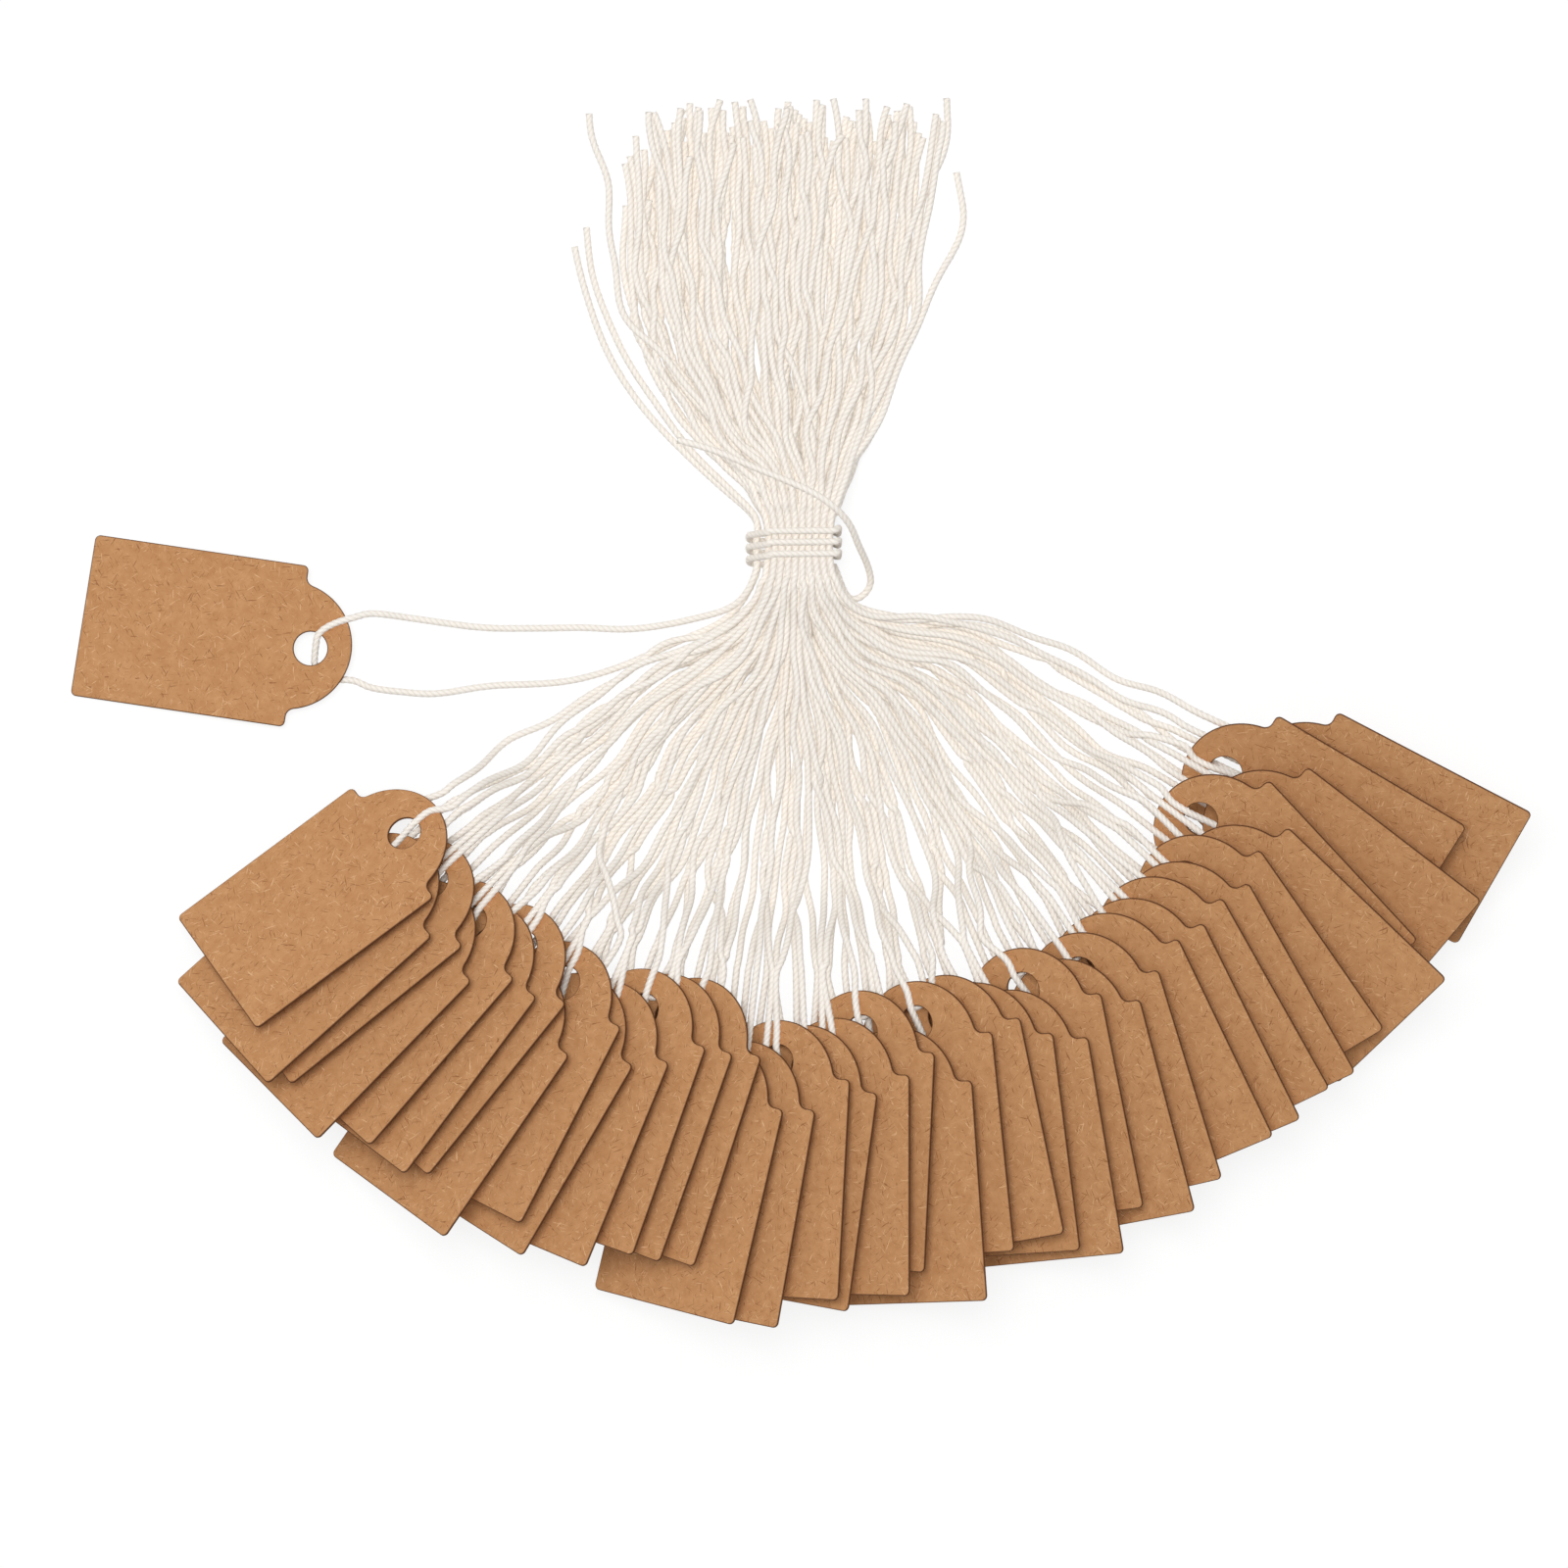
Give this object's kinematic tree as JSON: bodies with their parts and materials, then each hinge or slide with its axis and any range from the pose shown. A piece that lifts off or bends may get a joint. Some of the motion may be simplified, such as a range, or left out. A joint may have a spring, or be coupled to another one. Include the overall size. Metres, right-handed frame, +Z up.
{
  "type": "bundle of strung price tags",
  "caption": "Tied fan of kraft card price tags on doubled cotton strings, gathered by a wound binding thread, with one tag drawn out and the cut string ends in a tassel.",
  "frame": {"origin": "on the table, under the middle of the box round all the tags", "axes": "+X to the right across the fan, +Y towards the tassel, +Z up from the table"},
  "size_m": [0.1332, 0.1127, 0.0107],
  "materials": {
    "kraft_card": "uncoated brown kraft card with short fibres",
    "cotton_string": "three-ply twisted off-white cotton"
  },
  "bodies": {
    "strings": {"binding_thread": "cotton_string", "drawn_string": "cotton_string", "string_pair_01": "cotton_string", "string_pair_02": "cotton_string", "string_pair_03": "cotton_string", "string_pair_04": "cotton_string", "string_pair_05": "cotton_string", "string_pair_06": "cotton_string", "string_pair_07": "cotton_string", "string_pair_08": "cotton_string", "string_pair_09": "cotton_string", "string_pair_10": "cotton_string", "string_pair_11": "cotton_string", "string_pair_12": "cotton_string", "string_pair_13": "cotton_string", "string_pair_14": "cotton_string", "string_pair_15": "cotton_string", "string_pair_16": "cotton_string", "string_pair_17": "cotton_string", "string_pair_18": "cotton_string", "string_pair_19": "cotton_string"},
    "tag_01": {"tag_01": "kraft_card"},
    "tag_02": {"tag_02": "kraft_card"},
    "tag_03": {"tag_03": "kraft_card"},
    "tag_04": {"tag_04": "kraft_card"},
    "tag_05": {"tag_05": "kraft_card"},
    "tag_06": {"tag_06": "kraft_card"},
    "tag_07": {"tag_07": "kraft_card"},
    "tag_08": {"tag_08": "kraft_card"},
    "tag_09": {"tag_09": "kraft_card"},
    "tag_10": {"tag_10": "kraft_card"},
    "tag_11": {"tag_11": "kraft_card"},
    "tag_12": {"tag_12": "kraft_card"},
    "tag_13": {"tag_13": "kraft_card"},
    "tag_14": {"tag_14": "kraft_card"},
    "tag_15": {"tag_15": "kraft_card"},
    "tag_16": {"tag_16": "kraft_card"},
    "tag_17": {"tag_17": "kraft_card"},
    "tag_18": {"tag_18": "kraft_card"},
    "tag_19": {"tag_19": "kraft_card"},
    "tag_20": {"tag_20": "kraft_card"},
    "tag_21": {"tag_21": "kraft_card"},
    "tag_22": {"tag_22": "kraft_card"},
    "tag_23": {"tag_23": "kraft_card"},
    "tag_24": {"tag_24": "kraft_card"},
    "tag_25": {"tag_25": "kraft_card"},
    "tag_26": {"tag_26": "kraft_card"},
    "tag_27": {"tag_27": "kraft_card"},
    "tag_28": {"tag_28": "kraft_card"},
    "tag_29": {"tag_29": "kraft_card"},
    "tag_30": {"tag_30": "kraft_card"},
    "tag_31": {"tag_31": "kraft_card"},
    "tag_32": {"tag_32": "kraft_card"},
    "tag_33": {"tag_33": "kraft_card"},
    "tag_34": {"tag_34": "kraft_card"},
    "tag_35": {"tag_35": "kraft_card"},
    "tag_36": {"tag_36": "kraft_card"},
    "tag_37": {"tag_37": "kraft_card"},
    "tag_38": {"tag_38": "kraft_card"},
    "drawn_tag": {"drawn_tag": "kraft_card"}
  },
  "joints": [
    {"name": "tag_01_swing", "type": "hinge", "parent": "strings", "child": "tag_01", "pos_m": [-0.0356, 0.00847, 0.00569], "axis": [-0.2889, 0.3904, 0.8741], "range_deg": [-10.67, 31.77]},
    {"name": "tag_02_swing", "type": "hinge", "parent": "strings", "child": "tag_02", "pos_m": [-0.03637, 0.0046, 0.00575], "axis": [-0.3103, 0.3737, 0.8741], "range_deg": [-13.62, 29.16]},
    {"name": "tag_03_swing", "type": "hinge", "parent": "strings", "child": "tag_03", "pos_m": [-0.03308, 0.00402, 0.00581], "axis": [-0.3307, 0.3558, 0.8741], "range_deg": [-6.43, 36.69]},
    {"name": "tag_04_swing", "type": "hinge", "parent": "strings", "child": "tag_04", "pos_m": [-0.03306, 0.00038, 0.00587], "axis": [-0.35, 0.3367, 0.8741], "range_deg": [-11.18, 32.28]},
    {"name": "tag_05_swing", "type": "hinge", "parent": "strings", "child": "tag_05", "pos_m": [-0.02953, 0.00037, 0.00593], "axis": [-0.3683, 0.3167, 0.8741], "range_deg": [-11.78, 32.02]},
    {"name": "tag_06_swing", "type": "hinge", "parent": "strings", "child": "tag_06", "pos_m": [-0.02786, -0.00165, 0.00599], "axis": [-0.3854, 0.2956, 0.8741], "range_deg": [-13.1, 31.04]},
    {"name": "tag_07_swing", "type": "hinge", "parent": "strings", "child": "tag_07", "pos_m": [-0.02491, -0.0019, 0.00605], "axis": [-0.4013, 0.2736, 0.8741], "range_deg": [-7.28, 37.2]},
    {"name": "tag_08_swing", "type": "hinge", "parent": "strings", "child": "tag_08", "pos_m": [-0.02503, -0.00694, 0.00611], "axis": [-0.416, 0.2507, 0.8741], "range_deg": [-9.01, 35.82]},
    {"name": "tag_09_swing", "type": "hinge", "parent": "strings", "child": "tag_09", "pos_m": [-0.021, -0.00517, 0.00617], "axis": [-0.4293, 0.2271, 0.8741], "range_deg": [-14.13, 31.03]},
    {"name": "tag_10_swing", "type": "hinge", "parent": "strings", "child": "tag_10", "pos_m": [-0.01957, -0.00815, 0.00623], "axis": [-0.4414, 0.2028, 0.8741], "range_deg": [-7.12, 38.4]},
    {"name": "tag_11_swing", "type": "hinge", "parent": "strings", "child": "tag_11", "pos_m": [-0.01697, -0.00877, 0.00629], "axis": [-0.452, 0.1778, 0.8741], "range_deg": [-12.92, 32.94]},
    {"name": "tag_12_swing", "type": "hinge", "parent": "strings", "child": "tag_12", "pos_m": [-0.01383, -0.00765, 0.00635], "axis": [-0.4612, 0.1523, 0.8741], "range_deg": [-12.88, 33.32]},
    {"name": "tag_13_swing", "type": "hinge", "parent": "strings", "child": "tag_13", "pos_m": [-0.01137, -0.00815, 0.00641], "axis": [-0.469, 0.1263, 0.8741], "range_deg": [-9.47, 37.08]},
    {"name": "tag_14_swing", "type": "hinge", "parent": "strings", "child": "tag_14", "pos_m": [-0.0089, -0.00851, 0.00647], "axis": [-0.4753, 0.0999, 0.8741], "range_deg": [-8.01, 38.88]},
    {"name": "tag_15_swing", "type": "hinge", "parent": "strings", "child": "tag_15", "pos_m": [-0.00719, -0.01382, 0.00653], "axis": [-0.4802, 0.0732, 0.8741], "range_deg": [-10.14, 37.09]},
    {"name": "tag_16_swing", "type": "hinge", "parent": "strings", "child": "tag_16", "pos_m": [-0.00446, -0.01423, 0.00659], "axis": [-0.4835, 0.0462, 0.8741], "range_deg": [-10.41, 37.17]},
    {"name": "tag_17_swing", "type": "hinge", "parent": "strings", "child": "tag_17", "pos_m": [-0.00162, -0.01231, 0.00665], "axis": [-0.4853, 0.0191, 0.8741], "range_deg": [-15.01, 32.92]},
    {"name": "tag_18_swing", "type": "hinge", "parent": "strings", "child": "tag_18", "pos_m": [0.00103, -0.01278, 0.00671], "axis": [-0.4856, -0.008, 0.8741], "range_deg": [-6.4, 41.87]},
    {"name": "tag_19_swing", "type": "hinge", "parent": "strings", "child": "tag_19", "pos_m": [0.00366, -0.01212, 0.00677], "axis": [-0.4844, -0.0351, 0.8741], "range_deg": [-11.85, 36.78]},
    {"name": "tag_20_swing", "type": "hinge", "parent": "strings", "child": "tag_20", "pos_m": [0.006, -0.00963, 0.00683], "axis": [-0.4817, -0.0621, 0.8741], "range_deg": [-5.56, 43.41]},
    {"name": "tag_21_swing", "type": "hinge", "parent": "strings", "child": "tag_21", "pos_m": [0.00919, -0.01299, 0.00689], "axis": [-0.4775, -0.089, 0.8741], "range_deg": [-9.76, 39.56]},
    {"name": "tag_22_swing", "type": "hinge", "parent": "strings", "child": "tag_22", "pos_m": [0.01096, -0.00878, 0.00695], "axis": [-0.4718, -0.1155, 0.8741], "range_deg": [-8.63, 41.04]},
    {"name": "tag_23_swing", "type": "hinge", "parent": "strings", "child": "tag_23", "pos_m": [0.01343, -0.00824, 0.00701], "axis": [-0.4646, -0.1417, 0.8741], "range_deg": [-11.94, 38.08]},
    {"name": "tag_24_swing", "type": "hinge", "parent": "strings", "child": "tag_24", "pos_m": [0.01636, -0.00889, 0.00707], "axis": [-0.4559, -0.1674, 0.8741], "range_deg": [-3.78, 46.59]},
    {"name": "tag_25_swing", "type": "hinge", "parent": "strings", "child": "tag_25", "pos_m": [0.01948, -0.00953, 0.00713], "axis": [-0.4459, -0.1926, 0.8741], "range_deg": [-3.14, 47.59]},
    {"name": "tag_26_swing", "type": "hinge", "parent": "strings", "child": "tag_26", "pos_m": [0.02061, -0.00574, 0.00719], "axis": [-0.4344, -0.2172, 0.8741], "range_deg": [-1.99, 49.08]},
    {"name": "tag_27_swing", "type": "hinge", "parent": "strings", "child": "tag_27", "pos_m": [0.02411, -0.00673, 0.00724], "axis": [-0.4216, -0.2412, 0.8741], "range_deg": [-2.5, 48.89]},
    {"name": "tag_28_swing", "type": "hinge", "parent": "strings", "child": "tag_28", "pos_m": [0.02577, -0.00435, 0.0073], "axis": [-0.4075, -0.2643, 0.8741], "range_deg": [-1.99, 49.75]},
    {"name": "tag_29_swing", "type": "hinge", "parent": "strings", "child": "tag_29", "pos_m": [0.02778, -0.00266, 0.00717], "axis": [-0.3921, -0.2867, 0.8741], "range_deg": [-7.23, 43.7]},
    {"name": "tag_30_swing", "type": "hinge", "parent": "strings", "child": "tag_30", "pos_m": [0.03003, -0.00129, 0.00723], "axis": [-0.3754, -0.3082, 0.8741], "range_deg": [-4.81, 46.47]},
    {"name": "tag_31_swing", "type": "hinge", "parent": "strings", "child": "tag_31", "pos_m": [0.03182, 0.00063, 0.00729], "axis": [-0.3576, -0.3286, 0.8741], "range_deg": [-5.01, 46.63]},
    {"name": "tag_32_swing", "type": "hinge", "parent": "strings", "child": "tag_32", "pos_m": [0.03413, 0.00203, 0.00735], "axis": [-0.3387, -0.3481, 0.8741], "range_deg": [-2, 50]},
    {"name": "tag_33_swing", "type": "hinge", "parent": "strings", "child": "tag_33", "pos_m": [0.03541, 0.00441, 0.00695], "axis": [-0.3187, -0.3665, 0.8741], "range_deg": [-1.99, 47.65]},
    {"name": "tag_34_swing", "type": "hinge", "parent": "strings", "child": "tag_34", "pos_m": [0.03877, 0.0051, 0.00655], "axis": [-0.2978, -0.3837, 0.8741], "range_deg": [-8.67, 38.66]},
    {"name": "tag_35_swing", "type": "hinge", "parent": "strings", "child": "tag_35", "pos_m": [0.03676, 0.0098, 0.00661], "axis": [-0.2759, -0.3998, 0.8741], "range_deg": [-2, 45.69]},
    {"name": "tag_36_swing", "type": "hinge", "parent": "strings", "child": "tag_36", "pos_m": [0.0411, 0.01005, 0.0054], "axis": [-0.2531, -0.4146, 0.8741], "range_deg": [-1.99, 38.78]},
    {"name": "tag_37_swing", "type": "hinge", "parent": "strings", "child": "tag_37", "pos_m": [0.03911, 0.01415, 0.00467], "axis": [-0.2295, -0.428, 0.8741], "range_deg": [-1.99, 34.69]},
    {"name": "tag_38_swing", "type": "hinge", "parent": "strings", "child": "tag_38", "pos_m": [0.04483, 0.0142, 0.00469], "axis": [-0.2053, -0.4402, 0.8741], "range_deg": [-1.99, 34.85]},
    {"name": "drawn_tag_swing", "type": "hinge", "parent": "strings", "child": "drawn_tag", "pos_m": [-0.04455, 0.02579, 0.00087], "axis": [-0.0312, 0.0047, 0.9995], "range_deg": [-25, 25]}
  ]
}
